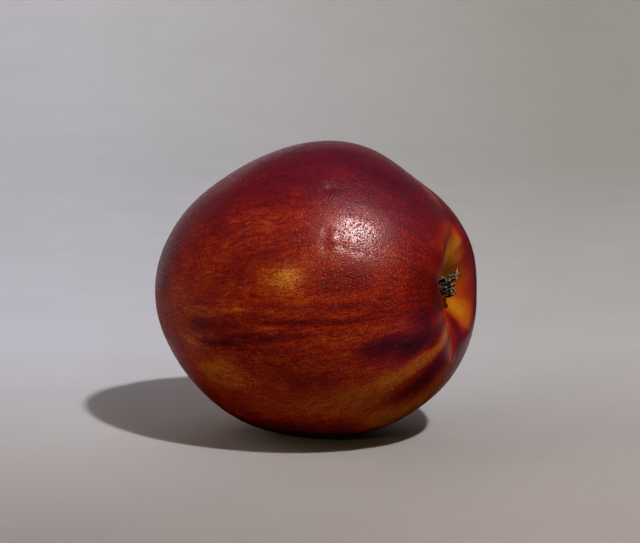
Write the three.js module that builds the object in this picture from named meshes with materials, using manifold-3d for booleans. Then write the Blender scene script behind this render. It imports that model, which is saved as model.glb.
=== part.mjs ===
// A nectarine, lying on its side: the fruit, grown as one piece, and the dry stub of its stalk.
//
// Millimetres and degrees. The fruit is described about its own growing axis: +X is the stem end,
// -X the blossom tip, and a longitude runs round the axis from +Z (0) through +Y (90).
// The finished part has its origin under the middle of its box, +X at the stem end and +Z up.

import * as THREE from "three";
import { mergeVertices } from "three/addons/utils/BufferGeometryUtils.js";
import Module from "manifold-3d";

const wasm = await Module();
wasm.setup();

// ---- Driving dimensions: the fruit ----

// Half section from the blossom tip, over the widest girth and the rim of the cavity, to the cavity's
// floor: [distance along the axis, radius, depth of the suture there].
const SECTION = [
  [-37.2, 0.0, 0.0],
  [-36.8, 2.2, 0.0],
  [-35.4, 7.2, 0.1],
  [-31.2, 15.4, 0.3],
  [-22.8, 24.5, 0.45],
  [-11.0, 31.2, 0.6],
  [2.0, 34.0, 0.75],
  [13.0, 33.1, 0.9],
  [23.0, 28.7, 1.1],
  [30.5, 22.6, 1.4],
  [34.5, 16.5, 1.8],
  [35.6, 12.0, 2.5],
  [34.8, 8.8, 2.7],
  [33.0, 5.8, 1.6],
  [31.4, 3.7, 0.7],
  [30.7, 1.8, 0.1],
  [30.5, 0.0, 0.0],
];
const STEPS_PER_SPAN = 3;
const LONGITUDES = 84;

const SUTURE_LONGITUDE = 22.5;
const SUTURE_HALF_WIDTH = 1.6;
const SUTURE_WIDENING = 1.35; // half width gained for each mm of depth

// The cheeks are a little flat on both sides of the suture, most of all near the stem end.
const FLAT_DEPTH = 0.6;
const FLAT_EXTRA_DEPTH = 1.3;
const FLAT_EXTRA_AT = 25;
const FLAT_EXTRA_REACH = 9;
const FLAT_HALF_WIDTH = 12;
const FLAT_START_RADII = [8, 24];

// Across the cavity from the suture a short fold crosses the rim, in a wider saddle.
const FOLD_LONGITUDE = 196.5;
const FOLD_DEPTH = 0.6;
const FOLD_HALF_WIDTH = 1.2;
const SADDLE_DEPTH = 0.8;
const SADDLE_HALF_WIDTH = 4.5;
const FOLD_START_RADII = [2.5, 7];
const FOLD_END_RADII = [10.5, 17];

// The suture and the fold each lie on one side of the axis, and fade out over this much across it.
const SIDE_FADE = 3;

// The rim of the cavity is notched in the middle of one raised cheek, and raised on the other.
const RIM_WAVES = [
  { longitude: 283, halfWidth: 15, lift: -0.9 },
  { longitude: 287, halfWidth: 55, lift: 0.6 },
  { longitude: 57, halfWidth: 30, lift: 0.4 },
];
const RIM_START_RADII = [3, 8];
const RIM_END_RADII = [12, 20];

// Past this distance along the axis, dents in the cavity's wall and rim only go in along the axis.
const RIM_STARTS_AT = 10;

// The girth is out of round: [share of the radius, lobes round the axis, longitude of the first].
const GIRTH_LOBES = [
  [0.01, 1, 197],
  [0.01, 2, 97],
];
const GIRTH_START_RADII = [2, 20];

// The growing axis is bowed, sags a little towards the tip, and lies tilted with its stem end up.
const BOW = -0.5;
const BOW_REACH = 36;
const SAG = -1.1;
const SAG_AT = -15;
const SAG_REACH = 12;
const AXIS_TILT = 4.4;

// The fruit rests on a small flat spot, pressed this deep into its underside.
const REST_FLAT_DEPTH = 0.45;

// ---- Driving dimensions: the stem stub ----

const SOCKET_FLOOR = 28.6;
const SOCKET_MOUTH = 32.6;
const SOCKET_SIDES = 24;

// Woody limbs grown together: [base, end, radii from base to end]. The first one is the root.
const STUB_LIMBS = [
  { base: [28.9, 0, 0], end: [33.9, -0.2, 0.2], radii: [2.35, 2.3, 2.4, 2.3, 1.8] },
  { base: [31.4, -0.6, 0.6], end: [34.9, -1.1, 2.3], radii: [1.2, 1.5, 1.6, 1.5, 1.0] },
  { base: [31.8, 0.3, 0.3], end: [35.8, 0.6, 3.6], radii: [1.2, 1.3, 1.2, 1.0, 0.7] },
  { base: [31.6, 0.2, -0.4], end: [35.0, 0.2, -1.4], radii: [1.2, 1.5, 1.6, 1.4, 1.0] },
];
const STUB_GAP = 0.35; // clear space round the root in its socket
const STUB_SIDES = 14;
const STUB_END_BEVEL = 0.1; // a limb's end is bevelled over this share of its length
const STUB_RIDGES = 5;
const STUB_RIDGE_DEPTH = 0.14; // share of the limb's radius
const STUB_RIDGE_TWIST = 1.1; // radians from a limb's base to its end
const STUB_RIDGE_START = [0.3, 0.6]; // shares of the limb's length
const STUB_BREAK_DEPTH = 0.3; // the broken ends are ragged by this much
const STUB_BREAK_START = [0.8, 0.95];

// ---- Small helpers ----

const radians = THREE.MathUtils.degToRad;
const smooth = THREE.MathUtils.smoothstep;

// A valley of depth 1 at 0 that levels out over a few half widths.
const valley = (offset, halfWidth) => (1 + (offset / halfWidth) ** 2) ** -1.5;

const hump = (offset, halfWidth) => Math.exp(-((offset / halfWidth) ** 2));

// A closed geometry as a solid: shared corners merged, slivers on the axis dropped.
function solidOf(geometry) {
  const bare = geometry.clone();
  bare.deleteAttribute("normal");
  bare.deleteAttribute("uv");
  const merged = mergeVertices(bare);
  const triangles = [];
  for (let i = 0; i < merged.index.count; i += 3) {
    const [a, b, c] = [0, 1, 2].map((k) => merged.index.getX(i + k));
    if (a !== b && b !== c && c !== a) {
      triangles.push(a, b, c);
    }
  }
  const mesh = new wasm.Mesh({
    numProp: 3,
    vertProperties: new Float32Array(merged.attributes.position.array),
    triVerts: new Uint32Array(triangles),
  });
  return new wasm.Manifold(mesh);
}

function geometryOf(solid) {
  const mesh = solid.getMesh();
  const geometry = new THREE.BufferGeometry();
  geometry.setAttribute("position", new THREE.BufferAttribute(mesh.vertProperties, 3));
  geometry.setIndex(new THREE.BufferAttribute(mesh.triVerts, 1));
  geometry.computeBoundingBox();
  return geometry;
}

// ---- The fruit ----

// One ring of the skin for each step along the section, with the way its dents go in.
function skinRings() {
  const curve = new THREE.CatmullRomCurve3(SECTION.map((point) => new THREE.Vector3(...point)));
  const steps = (SECTION.length - 1) * STEPS_PER_SPAN;
  const rings = [];
  for (let step = 0; step <= steps; step++) {
    const point = curve.getPoint(step / steps);
    const tangent = curve.getTangent(step / steps);
    const outX = -tangent.y;
    const outRadius = point.x > RIM_STARTS_AT ? Math.max(tangent.x, 0) : tangent.x;
    const length = Math.hypot(outX, outRadius);
    rings.push({
      x: point.x,
      radius: point.y,
      suture: point.z,
      outX: outX / length,
      outRadius: outRadius / length,
    });
  }
  return rings;
}

// How deep the suture and the flatter cheeks beside it dent a ring at a longitude.
function sutureDentAt(ring, longitude) {
  const away = longitude - radians(SUTURE_LONGITUDE);
  const across = ring.radius * Math.sin(away);
  const onItsSide = smooth(ring.radius * Math.cos(away), -SIDE_FADE, SIDE_FADE);
  const groove = ring.suture * valley(across, SUTURE_HALF_WIDTH + SUTURE_WIDENING * ring.suture);
  const flatDepth = FLAT_DEPTH + FLAT_EXTRA_DEPTH * hump(ring.x - FLAT_EXTRA_AT, FLAT_EXTRA_REACH);
  const flat = flatDepth * smooth(ring.radius, ...FLAT_START_RADII) * valley(across, FLAT_HALF_WIDTH);
  return onItsSide * (groove + flat);
}

// How deep the fold and its saddle dent a ring at a longitude, at the stem end only.
function foldDentAt(ring, longitude) {
  if (ring.x < 0) {
    return 0;
  }
  const away = longitude - radians(FOLD_LONGITUDE);
  const across = ring.radius * Math.sin(away);
  const onItsSide = smooth(ring.radius * Math.cos(away), -SIDE_FADE, SIDE_FADE);
  const onRim = smooth(ring.radius, ...FOLD_START_RADII) * (1 - smooth(ring.radius, ...FOLD_END_RADII));
  const fold = FOLD_DEPTH * valley(across, FOLD_HALF_WIDTH);
  const saddle = SADDLE_DEPTH * valley(across, SADDLE_HALF_WIDTH);
  return onItsSide * onRim * (fold + saddle);
}

// How far the waves of the cavity's rim push a ring along the axis at a longitude.
function rimLiftAt(ring, longitude) {
  if (ring.x < 0) {
    return 0;
  }
  const onRim = smooth(ring.radius, ...RIM_START_RADII) * (1 - smooth(ring.radius, ...RIM_END_RADII));
  let lift = 0;
  for (const wave of RIM_WAVES) {
    const away = THREE.MathUtils.euclideanModulo(longitude - radians(wave.longitude), 2 * Math.PI);
    const shortest = Math.min(away, 2 * Math.PI - away);
    lift += wave.lift * onRim * hump(shortest, radians(wave.halfWidth));
  }
  return lift;
}

// A ring is stretched by this much at a longitude, except close to the axis.
function girthAt(ring, longitude) {
  let share = 0;
  for (const [amount, lobes, first] of GIRTH_LOBES) {
    share += amount * Math.cos(lobes * (longitude - radians(first)));
  }
  return 1 + share * smooth(ring.radius, ...GIRTH_START_RADII);
}

function axisHeightAt(x) {
  return BOW * (x / BOW_REACH) ** 2 + SAG * hump(x - SAG_AT, SAG_REACH);
}

function skinPoint(ring, longitude) {
  const dent = sutureDentAt(ring, longitude) + foldDentAt(ring, longitude);
  const radius = ring.radius * girthAt(ring, longitude) - dent * ring.outRadius;
  return new THREE.Vector3(
    ring.x - dent * ring.outX + rimLiftAt(ring, longitude),
    radius * Math.sin(longitude),
    radius * Math.cos(longitude) + axisHeightAt(ring.x),
  );
}

// The section turned round the axis, with every point then moved to its place on the skin.
function skinGeometry() {
  const rings = skinRings();
  const outline = rings.map((ring) => new THREE.Vector2(ring.radius, ring.x));
  const lathe = new THREE.LatheGeometry(outline, LONGITUDES);
  const position = lathe.attributes.position;
  for (let i = 0; i < position.count; i++) {
    const column = Math.floor(i / rings.length) % LONGITUDES;
    const longitude = (-2 * Math.PI * column) / LONGITUDES;
    const point = skinPoint(rings[i % rings.length], longitude);
    position.setXYZ(i, point.x, point.y, point.z);
  }
  return lathe;
}

// A round hole with a flat floor, from the cavity's floor into the flesh, for the stub's root.
function socketGeometry() {
  const radius = Math.max(...STUB_LIMBS[0].radii) + STUB_GAP;
  const hole = new THREE.CylinderGeometry(radius, radius, SOCKET_MOUTH - SOCKET_FLOOR, SOCKET_SIDES);
  hole.rotateZ(-Math.PI / 2);
  hole.translate((SOCKET_MOUTH + SOCKET_FLOOR) / 2, 0, axisHeightAt(SOCKET_FLOOR));
  return hole;
}

// A block whose top is at a height, large enough to cut off all that lies below it.
function blockBelow(height) {
  const side = 4 * Math.max(...SECTION.map(([, radius]) => radius));
  const block = new THREE.BoxGeometry(side, side, side);
  block.translate(0, 0, height - side / 2);
  return block;
}

// ---- The stem stub ----

// A rough woody limb along +Y of its own, then turned from its base to its end.
function limbGeometry({ base, end, radii }) {
  const from = new THREE.Vector3(...base);
  const along = new THREE.Vector3(...end).sub(from);
  const length = along.length();
  const outline = [new THREE.Vector2(0, 0)];
  radii.forEach((radius, i) => {
    const share = i / (radii.length - 1);
    outline.push(new THREE.Vector2(radius, length * share * (1 - STUB_END_BEVEL)));
  });
  outline.push(new THREE.Vector2(0, length));
  const limb = new THREE.LatheGeometry(outline, STUB_SIDES);
  const position = limb.attributes.position;
  for (let i = 0; i < position.count; i++) {
    const height = position.getY(i) / length;
    const column = Math.floor(i / outline.length) % STUB_SIDES;
    const angle = (2 * Math.PI * column) / STUB_SIDES;
    const ridge = Math.cos(STUB_RIDGES * angle + STUB_RIDGE_TWIST * height + length);
    const scale = 1 + STUB_RIDGE_DEPTH * ridge * smooth(height, ...STUB_RIDGE_START);
    const ragged = STUB_BREAK_DEPTH * Math.cos(2 * angle + length) * smooth(height, ...STUB_BREAK_START);
    const onAxis = position.getX(i) === 0 && position.getZ(i) === 0;
    position.setX(i, position.getX(i) * scale);
    position.setY(i, position.getY(i) + (onAxis ? 0 : ragged));
    position.setZ(i, position.getZ(i) * scale);
  }
  const turn = new THREE.Quaternion().setFromUnitVectors(
    new THREE.Vector3(0, 1, 0),
    along.clone().normalize(),
  );
  limb.applyQuaternion(turn);
  limb.translate(from.x, from.y, from.z + axisHeightAt(from.x));
  return limb;
}

// ---- Assembly ----

const tilt = new THREE.Matrix4().makeRotationY(-radians(AXIS_TILT));

// Tilted as it lies, with its underside pressed flat.
const roundFruit = solidOf(skinGeometry().applyMatrix4(tilt));
const floor = geometryOf(roundFruit).boundingBox.min.z + REST_FLAT_DEPTH;
const restedFruit = roundFruit.subtract(solidOf(blockBelow(floor)));

// The fruit is clear of the stub all round its root.
const socket = solidOf(socketGeometry().applyMatrix4(tilt));
const fruitGeometry = geometryOf(restedFruit.subtract(socket));
const stubLimbs = STUB_LIMBS.map((limb) => solidOf(limbGeometry(limb).applyMatrix4(tilt)));
const stubGeometry = geometryOf(stubLimbs.reduce((whole, limb) => whole.add(limb)));

// The origin goes under the middle of the fruit's box.
const middle = fruitGeometry.boundingBox.getCenter(new THREE.Vector3());
const toOrigin = [-middle.x, -middle.y, -floor];

const fruit = new THREE.Mesh(
  fruitGeometry.translate(...toOrigin),
  new THREE.MeshStandardMaterial({ color: 0x7a1f10, roughness: 0.35, metalness: 0 }),
);
fruit.name = "fruit";

const stub = new THREE.Mesh(
  stubGeometry.translate(...toOrigin),
  new THREE.MeshStandardMaterial({ color: 0x2b2014, roughness: 0.85, metalness: 0 }),
);
stub.name = "stem_stub";

const nectarine = new THREE.Group();
nectarine.add(fruit, stub);

export default nectarine;
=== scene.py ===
# A nectarine lying on its side on a pale studio sweep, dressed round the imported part.
#
# The scene is in metres, in the part's own frame: +X at the stem end, +Z up, the floor at z = 0.
# The fruit's form and its markings are worked out in millimetres and degrees, as in the part's source:
# a longitude runs round the growing axis from +Z (0) through +Y (90), and an arc is the length along
# the skin from the blossom tip (0) over the girth (59) and the cavity's rim (100) to its floor (113).

import math

import bpy
import numpy as np
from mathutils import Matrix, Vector, noise


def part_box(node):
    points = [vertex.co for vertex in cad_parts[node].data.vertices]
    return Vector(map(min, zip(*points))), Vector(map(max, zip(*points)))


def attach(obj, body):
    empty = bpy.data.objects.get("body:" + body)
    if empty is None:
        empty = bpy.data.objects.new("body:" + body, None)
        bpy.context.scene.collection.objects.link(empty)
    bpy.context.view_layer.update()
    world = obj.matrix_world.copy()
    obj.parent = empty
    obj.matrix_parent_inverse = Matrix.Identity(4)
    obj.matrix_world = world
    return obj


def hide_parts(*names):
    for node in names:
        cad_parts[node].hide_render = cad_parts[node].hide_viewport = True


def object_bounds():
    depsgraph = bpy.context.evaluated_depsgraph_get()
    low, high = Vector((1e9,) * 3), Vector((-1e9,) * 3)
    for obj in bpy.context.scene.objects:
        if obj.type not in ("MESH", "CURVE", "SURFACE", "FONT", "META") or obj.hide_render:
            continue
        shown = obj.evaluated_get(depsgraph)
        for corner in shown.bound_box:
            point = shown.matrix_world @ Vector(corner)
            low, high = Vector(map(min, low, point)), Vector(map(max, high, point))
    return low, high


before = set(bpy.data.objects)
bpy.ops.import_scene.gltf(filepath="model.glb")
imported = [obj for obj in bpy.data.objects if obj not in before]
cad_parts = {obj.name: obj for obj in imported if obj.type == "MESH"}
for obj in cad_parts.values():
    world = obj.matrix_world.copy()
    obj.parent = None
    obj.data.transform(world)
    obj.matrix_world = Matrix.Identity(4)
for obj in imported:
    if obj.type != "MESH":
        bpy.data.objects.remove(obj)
cad_low, cad_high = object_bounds()
fruit_low, fruit_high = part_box("fruit")

MM = 0.001
NO_LENGTH = 1e-9  # a length short enough to count as none
NOISE_STEP = (17.3, -9.1, 5.7)  # from one seed's noise to the next one's

# ---- The fruit's form: the same driving dimensions as the part's source ----

# Half of a section along the growing axis, from the blossom tip round to the cavity's floor:
# (place along the axis, radius, depth of the suture there).
SECTION = [
    (-37.2, 0.0, 0.0),
    (-36.8, 2.2, 0.0),
    (-35.4, 7.2, 0.1),
    (-31.2, 15.4, 0.3),
    (-22.8, 24.5, 0.45),
    (-11.0, 31.2, 0.6),
    (2.0, 34.0, 0.75),
    (13.0, 33.1, 0.9),
    (23.0, 28.7, 1.1),
    (30.5, 22.6, 1.4),
    (34.5, 16.5, 1.8),
    (35.6, 12.0, 2.5),
    (34.8, 8.8, 2.7),
    (33.0, 5.8, 1.6),
    (31.4, 3.7, 0.7),
    (30.7, 1.8, 0.1),
    (30.5, 0.0, 0.0),
]
SUTURE_LONGITUDE = 22.5
SUTURE_HALF_WIDTH = 1.6
SUTURE_WIDENING = 1.35  # half width gained for each mm of depth

# The cheeks are a little flat on both sides of the suture, most of all near the stem end.
FLAT_DEPTH = 0.6
FLAT_EXTRA_DEPTH = 1.3
FLAT_EXTRA_AT = 25
FLAT_EXTRA_REACH = 9
FLAT_HALF_WIDTH = 12
FLAT_START_RADII = (8, 24)

# Across the cavity from the suture a short fold crosses the rim, in a wider saddle.
FOLD_LONGITUDE = 196.5
FOLD_DEPTH = 0.6
FOLD_HALF_WIDTH = 1.2
SADDLE_DEPTH = 0.8
SADDLE_HALF_WIDTH = 4.5
FOLD_START_RADII = (2.5, 7)
FOLD_END_RADII = (10.5, 17)

# The suture and the fold each lie on one side of the axis, and fade out over this much across it.
SIDE_FADE = 3

# The rim of the cavity is notched in the middle of one raised cheek, and raised on the other.
RIM_WAVES = [  # longitude, half width in degrees, lift
    (283, 15, -0.9),
    (287, 55, 0.6),
    (57, 30, 0.4),
]
RIM_START_RADII = (3, 8)
RIM_END_RADII = (12, 20)

# Past this distance along the axis, dents in the cavity's wall and rim only go in along the axis.
RIM_STARTS_AT = 10

# The girth is out of round.
GIRTH_LOBES = [  # share of the radius, lobes round the axis, longitude of the first
    (0.01, 1, 197),
    (0.01, 2, 97),
]
GIRTH_START_RADII = (2, 20)

# The growing axis is bowed, sags a little towards the tip, and lies tilted with its stem end up.
BOW = -0.5
BOW_REACH = 36
SAG = -1.1
SAG_AT = -15
SAG_REACH = 12
AXIS_TILT = 4.4
REST_FLAT_DEPTH = 0.45  # how deep the flat spot that it rests on is pressed into its underside

# ---- The skin's mesh and its low relief ----

SECTION_SAMPLES = 4001  # places where the section's own length is measured
SKIN_STEP = 0.5  # between rings along the arc
SKIN_LONGITUDES = 432
REST_FLAT_BLEND = 0.12  # how softly the skin turns into the flat it rests on

# Dents and bumps too small for the solid: (arc, longitude, half length, half width, height), all but the
# longitude in millimetres.
SMALL_RELIEF = [
    # the scar and the knobs round it
    (72.6, 297.8, 0.9, 1.0, -0.20),
    (71.0, 300.5, 0.9, 1.0, 0.14),
    (71.0, 294.5, 0.9, 1.2, 0.16),
    (74.8, 295.5, 1.1, 0.9, 0.10),
    (69.5, 320.0, 1.1, 1.3, 0.34),
    (71.3, 321.5, 0.7, 0.9, 0.10),
    (77.2, 313.5, 2.2, 1.8, 0.07),
    (73.8, 308.0, 2.4, 1.6, -0.05),
    (80.5, 305.5, 2.6, 1.8, -0.04),
    (64.0, 306.0, 1.0, 1.2, -0.16),
    (78.0, 294.0, 1.4, 1.0, 0.08),
    (84.6, 245.0, 0.35, 0.35, 0.05),
    # the fold's sharp ridge and the crease beside it
    (99.5, 194.5, 6.0, 0.45, 0.16),
    (100.5, 200.5, 5.0, 0.4, -0.18),
    (98.5, 186.0, 3.5, 0.4, 0.14),
    (44.0, 118.0, 1.4, 1.4, -0.12),
    (66.0, 84.0, 1.0, 1.0, 0.08),
    (83.0, 132.0, 0.8, 0.8, -0.10),
]
RELIEF_FADE_RADII = (0, 3)  # it fades out towards the axis between these
SWELL_HEIGHT = 0.09
SWELL_LENGTH = 9.0
SWELL_SEED = 1
# Fine ridges that run down the cavity's wall, between two pairs of arcs, and wander sideways a little.
CAVITY_RIDGES = 34
CAVITY_RIDGE_HEIGHT = 0.03
CAVITY_RIDGE_START = (100, 105)
CAVITY_RIDGE_END = (108, 112)
CAVITY_RIDGE_WANDER = 2
CAVITY_RIDGE_WAVES = 5

# ---- The blush ----
#
# A tone of 0 is bare golden ground, 1 orange, 2 crimson and 3 maroon.
# The tone round the fruit, before its patches: (longitude, tone).
TONES_ROUND = [
    (30, 2.1),
    (60, 1.9),
    (90, 1.7),
    (130, 1.35),
    (165, 1.6),
    (197, 1.8),
    (225, 1.2),
    (270, 1.3),
    (300, 1.5),
    (325, 2.1),
    (350, 2.3),
]

PATCH_EDGE = 1.5  # how sharply a patch ends: 1 is the softest

# Patches that pull the tone their way: (arc, longitude, half length, half width in degrees, tone,
# strength).
BLUSH_PATCHES = [
    # the lower cheek, toned dark red partly as painted shade, and golden at (84, 194) partly as a painted
    # glow of light bounced up from the floor
    (53, 203, 20, 14, 2.1, 0.95),
    (35, 222, 14, 12, 1.7, 0.6),
    (76, 204, 7, 14, 0.5, 0.9),
    (84, 194, 12, 10, 0.45, 0.85),
    (57, 230, 12, 6, 1.1, 0.6),
    (43, 245, 8, 8, 0.45, 0.88),
    (36, 258, 4, 3, 0.5, 0.8),
    (64, 247, 10, 9, 1.4, 0.75),
    (71, 226, 10, 9, 0.65, 0.8),
    # the golden stripe below the near lip, and the maroon to both sides of it
    (78, 229, 8, 8, 0.8, 0.8),
    (86, 230, 7, 5, 0.5, 0.85),
    (92, 228, 5, 4.5, 0.4, 0.85),
    (98, 224, 4, 5, 0.35, 0.9),
    (90, 214, 9, 6.5, 2.4, 0.9),
    (97, 212, 5, 8, 2.2, 0.8),
    (84, 250, 7, 5, 2.7, 0.9),
    (90, 243, 7, 6.5, 2.8, 0.95),
    (96, 236, 3.5, 6, 2.3, 0.8),
    (96, 248, 4, 8, 2.5, 0.8),
    (95, 262, 5, 12, 2.4, 0.85),
    # streaks along the middle of the near cheek
    (43, 266, 10, 3.2, 2.15, 0.85),
    (40, 270, 5, 1.0, 0.9, 0.6),
    (52, 260.5, 11, 2.6, 2.15, 0.85),
    (41, 261.5, 6, 0.9, 0.9, 0.7),
    (44, 258.5, 6, 1.2, 2.3, 0.8),
    (57, 264, 6, 0.9, 0.8, 0.7),
    (64, 266, 8, 1.1, 2.4, 0.8),
    (74, 264.5, 8, 1.0, 2.4, 0.8),
    (70, 261, 8, 1.0, 2.1, 0.6),
    (58, 256, 9, 2.0, 1.4, 0.6),
    (46, 272, 8, 3.5, 1.0, 0.7),
    (43, 275, 5, 0.9, 1.9, 0.7),
    (50, 271.5, 4, 0.8, 0.4, 0.7),
    (38, 272.5, 4, 1.4, 0.7, 0.7),
    (52, 278, 6, 3.0, 1.2, 0.6),
    # a golden patch, partly a painted highlight where the low warm light glints on it
    (62.8, 281.5, 4.8, 5, 0.42, 0.88),
    (69, 275, 6, 3, 0.9, 0.5),
    (75, 262, 9, 2, 1.1, 0.5),
    (85, 266, 10, 6, 1.75, 0.7),
    (77, 271, 8, 1.5, 2.0, 0.6),
    (74, 287, 7, 2.0, 1.0, 0.5),
    (78, 283, 8, 7, 2.0, 0.6),
    (72, 279, 5, 3.0, 1.7, 0.5),
    (85, 284, 6, 6, 1.5, 0.6),
    (94, 285, 4.5, 20, 2.1, 0.8),
    (86, 273, 5, 4, 1.9, 0.5),
    # a lighter red under the main highlight, partly a painted highlight
    (78, 304, 9, 10, 1.2, 0.6),
    (50, 286, 5, 5, 1.8, 0.8),
    (59, 291.5, 5, 2.5, 1.9, 0.6),
    (43, 290, 4, 4, 1.2, 0.6),
    (52, 298, 7, 4, 1.3, 0.5),
    (57, 305, 9, 6, 1.15, 0.5),
    (58.5, 300, 3, 2, 0.75, 0.5),
    (64, 317, 3, 2, 1.3, 0.6),
    (58, 328, 3, 1.5, 1.6, 0.5),
    (54, 296, 3, 1.2, 0.8, 0.4),
    (66, 288, 3, 2, 0.9, 0.4),
    # the sunny top
    (45, 322, 18, 10, 1.95, 0.6),
    (67, 322, 9, 8, 2.2, 0.6),
    (80, 338, 8, 8, 2.5, 0.6),
    (88, 312, 6, 14, 1.9, 0.6),
    (93, 318, 4, 14, 1.7, 0.5),
    (92, 340, 5, 10, 2.0, 0.5),
    (88, 4, 5, 5, 0.8, 0.7),
    # the blossom end
    (24, 282, 5, 7, 1.9, 0.6),
    (22, 305, 10, 22, 2.4, 0.7),
    (22, 255, 9, 14, 1.5, 0.6),
    (32, 278, 6, 15, 0.9, 0.6),
    # the far side
    (60, 122, 20, 16, 0.75, 0.85),
    (46, 112, 8, 3, 1.9, 0.7),
    (62, 118, 10, 1.8, 2.0, 0.8),
    (54, 126, 9, 2.2, 1.7, 0.7),
    (70, 129, 9, 1.6, 2.1, 0.7),
    (40, 145, 10, 10, 2.1, 0.7),
    (75, 95, 13, 8, 2.5, 0.8),
    (86, 148, 10, 10, 0.5, 0.85),
    (90, 128, 6, 8, 2.3, 0.7),
    (46, 88, 14, 6, 1.1, 0.7),
    (68, 162, 12, 8, 2.0, 0.7),
    (58, 176, 10, 5, 1.1, 0.6),
    (30, 112, 9, 18, 0.9, 0.6),
    (20, 60, 8, 20, 2.2, 0.6),
    (88, 70, 8, 8, 1.2, 0.6),
    (62, 58, 16, 7, 2.7, 0.6),
    (36, 70, 10, 6, 1.6, 0.5),
    (20, 160, 8, 22, 1.1, 0.6),
    (17, 215, 6, 20, 1.4, 0.5),
]

STREAK_FADE_RADII = (0, 4)  # the streaks fade in from the axis between these

# Where the streaks are strong, from 0 to 1, in the same way.
STREAK_PATCHES = [
    (46, 265, 16, 14, 1.0, 1.0),
    (75, 262, 14, 10, 0.7, 0.9),
    (58, 298, 12, 12, 0.5, 0.8),
    (90, 300, 8, 30, 0.5, 0.8),
    (55, 120, 22, 30, 0.6, 0.8),
]

# Where the red turns to wine, from 0 to 1, in the same way: partly the skin's own purple bloom, partly a
# painted sheen, the mauve of gloss round the main highlight and along the top, the blossom end and the
# rims.
WINE_AND_SHEEN_PATCHES = [
    (60, 0, 45, 48, 1.0, 1.0),
    (80, 320, 17, 26, 0.85, 0.85),
    (35, 318, 22, 20, 0.7, 0.7),
    (14, 280, 18, 90, 0.8, 0.8),
    (90, 246, 12, 18, 0.8, 0.9),
    (96, 210, 7, 18, 0.8, 0.9),
    (98, 80, 6, 70, 0.8, 0.9),
    (98, 170, 6, 30, 0.8, 0.9),
    (70, 110, 20, 25, 0.5, 0.7),
]

# Where the ground is a dull olive round the stalk, in the same way: partly russet, partly painted shade
# deep in the cavity and on the suture's wall.
RUSSET_AND_SHADE_PATCHES = [
    (107, 40, 5, 45, 0.8, 1.0),
    (101.5, 42, 3, 14, 0.35, 0.7),
    (103, 340, 4, 30, 0.6, 0.9),
]

# Where the pores' painted shade is darkest, in the same way: most of all in the highlights, which they
# break up.
PITTED_SHADE_PATCHES = [
    (62.8, 281.5, 6.5, 7, 1.0, 1.0),
    (75, 306, 9, 10, 0.5, 0.8),
    (55, 118, 7, 9, 0.8, 0.8),
]

# The cavity's own tones take over between two arcs, at its rim.
CAVITY_STARTS_AT = (94, 98)
CAVITY_TONE = 0.75
CAVITY_PATCHES = [
    # the outer rim, from the suture to the fold
    (97.5, 90, 4.0, 60, 2.6, 0.98),
    (98.0, 160, 3.0, 22, 2.3, 0.95),
    (101.8, 144, 2.2, 13, 0.45, 0.85),
    (101, 80, 2.6, 28, 1.9, 0.85),
    (104.5, 87, 3.4, 22, 0.85, 0.85),
    (102, 108, 2.5, 14, 1.4, 0.7),
    # the yellow wall of the suture
    (97.5, 29, 3.5, 5, 0.85, 0.9),
    (100.5, 35, 2.2, 6, 0.15, 0.95),
    (99.8, 50, 2.2, 7, 2.0, 0.9),
    (105, 28, 4, 14, 0.15, 0.9),
    (104, 48, 4, 7, 0.5, 0.8),
    # the bright floor beyond the stub, and the crimson wall below it
    (103.5, 130, 3.0, 16, 0.6, 0.8),
    (106, 140, 4, 16, 0.25, 0.9),
    (102, 150, 1.8, 7, 0.7, 0.7),
    (102.6, 177, 4.3, 13, 2.2, 0.95),
    (97, 178, 3.5, 18, 2.5, 0.9),
    (99.7, 192, 3, 4, 2.0, 0.8),
    # the fold's pale ridge, the stripe and the near lip
    (99.5, 194.5, 6, 1.4, 0.9, 0.9),
    (100, 200, 5, 1.4, 2.4, 0.9),
    (99.5, 206, 5, 3, 0.9, 0.8),
    (101, 225, 3, 8, 0.5, 0.9),
    (97, 224, 3.5, 5, 0.5, 0.8),
    (97.5, 213, 3, 7, 2.3, 0.9),
    (97.5, 240, 3.5, 7, 2.4, 0.9),
    (98, 272, 4, 24, 2.5, 0.95),
    (98, 306, 4, 14, 2.0, 0.9),
    (98.5, 330, 4, 12, 1.5, 0.8),
    (98.5, 350, 4, 12, 1.1, 0.8),
]

# ---- Helpers ----


def smooth(value, start, end):
    share = np.clip((value - start) / (end - start), 0, 1)
    return share * share * (3 - 2 * share)


def valley(offset, half_width):
    return (1 + (offset / half_width) ** 2) ** -1.5


def hump(offset, half_width):
    return np.exp(-((offset / half_width) ** 2))


def degrees_apart(longitude, other):
    return (longitude - other + 180) % 360 - 180


def section_curve(places):
    """The section's smooth curve and its slope at places counted in points: centripetal Catmull-Rom."""
    points = np.array(SECTION, float)
    points = np.vstack([2 * points[0] - points[1], points, 2 * points[-1] - points[-2]])
    span = np.clip(np.floor(places).astype(int), 0, len(SECTION) - 2)
    t = (places - span)[:, None]
    p0, p1, p2, p3 = (points[span + k] for k in range(4))
    pairs = ((p0, p1), (p1, p2), (p2, p3))
    d0, d1, d2 = (np.linalg.norm(b - a, axis=1)[:, None] ** 0.5 for a, b in pairs)
    m1 = ((p1 - p0) / d0 - (p2 - p0) / (d0 + d1) + (p2 - p1) / d1) * d1
    m2 = ((p2 - p1) / d1 - (p3 - p1) / (d1 + d2) + (p3 - p2) / d2) * d1
    c2 = 3 * (p2 - p1) - 2 * m1 - m2
    c3 = 2 * (p1 - p2) + m1 + m2
    return p1 + m1 * t + c2 * t**2 + c3 * t**3, m1 + 2 * c2 * t + 3 * c3 * t**2


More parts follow.
